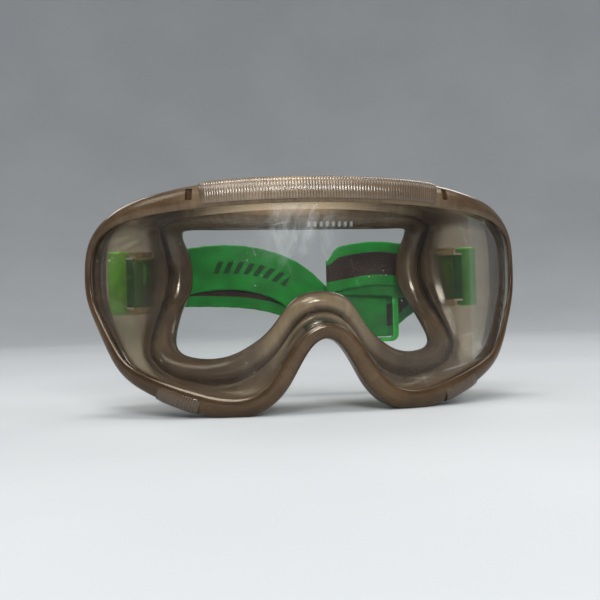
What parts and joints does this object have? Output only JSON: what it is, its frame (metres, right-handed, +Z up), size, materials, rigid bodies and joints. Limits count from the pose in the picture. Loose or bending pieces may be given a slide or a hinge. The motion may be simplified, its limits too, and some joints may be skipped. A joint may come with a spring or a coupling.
{
  "type": "safety goggles",
  "caption": "Wide-vision safety goggles: soft smoky frame with a rolled face seal, one wrapped clear lens, ribbed vent covers, and a green elastic headband on side clips with a slider.",
  "frame": {"origin": "middle of the footprint, on the ground plane under the two cheek lobes", "axes": "+Z up as worn, -Y out through the front of the lens, +X to the wearer's left"},
  "size_m": [0.181, 0.0894, 0.092],
  "materials": {
    "soft_pvc": "glossy smoky translucent soft moulding",
    "lens": "clear, lightly scuffed",
    "vent_pvc": "finely ribbed smoky translucent",
    "clear_plastic": "clear, smoky, glossy",
    "green_plastic": "glossy moulded",
    "green_elastic": "woven elastic with a brown stripe on the inner face"
  },
  "bodies": {
    "frame": {"frame_body": "soft_pvc", "lens": "lens", "top_vent_cover": "vent_pvc", "lower_vent_cover_left": "vent_pvc", "lower_vent_cover_right": "vent_pvc", "strap_bracket_left": "clear_plastic", "strap_bracket_right": "clear_plastic", "strap_clip_left": "green_plastic", "strap_clip_right": "green_plastic"},
    "band_left": {"headband_left_run": "green_elastic"},
    "band_fold": {"headband_fold": "green_elastic"},
    "band_right": {"headband_right_run": "green_elastic"},
    "slider": {"slider": "green_plastic"}
  },
  "joints": [
    {"name": "headband_swing", "type": "hinge", "parent": "frame", "child": "band_left", "pos_m": [-0.077, 0.0107, 0.0527], "axis": [0, 0, 1], "range_deg": [0, 24]},
    {"name": "headband_unfold", "type": "hinge", "parent": "band_left", "child": "band_fold", "pos_m": [0.06, 0.0276, 0.0522], "axis": [0, 0, 1], "range_deg": [0, 36.5]},
    {"name": "headband_right_swing", "type": "hinge", "parent": "frame", "child": "band_right", "pos_m": [0.077, 0.0107, 0.0527], "axis": [0, 0, -1], "range_deg": [0, 15.2]},
    {"name": "slider_slide", "type": "slide", "parent": "band_left", "child": "slider", "axis": [1, 0, 0], "range_m": [-0.005, 0.002]}
  ],
  "couplings": [
    {"joint": "headband_unfold", "follows": "headband_swing", "ratio": 1.5},
    {"joint": "headband_right_swing", "follows": "headband_swing", "ratio": 0.62}
  ]
}
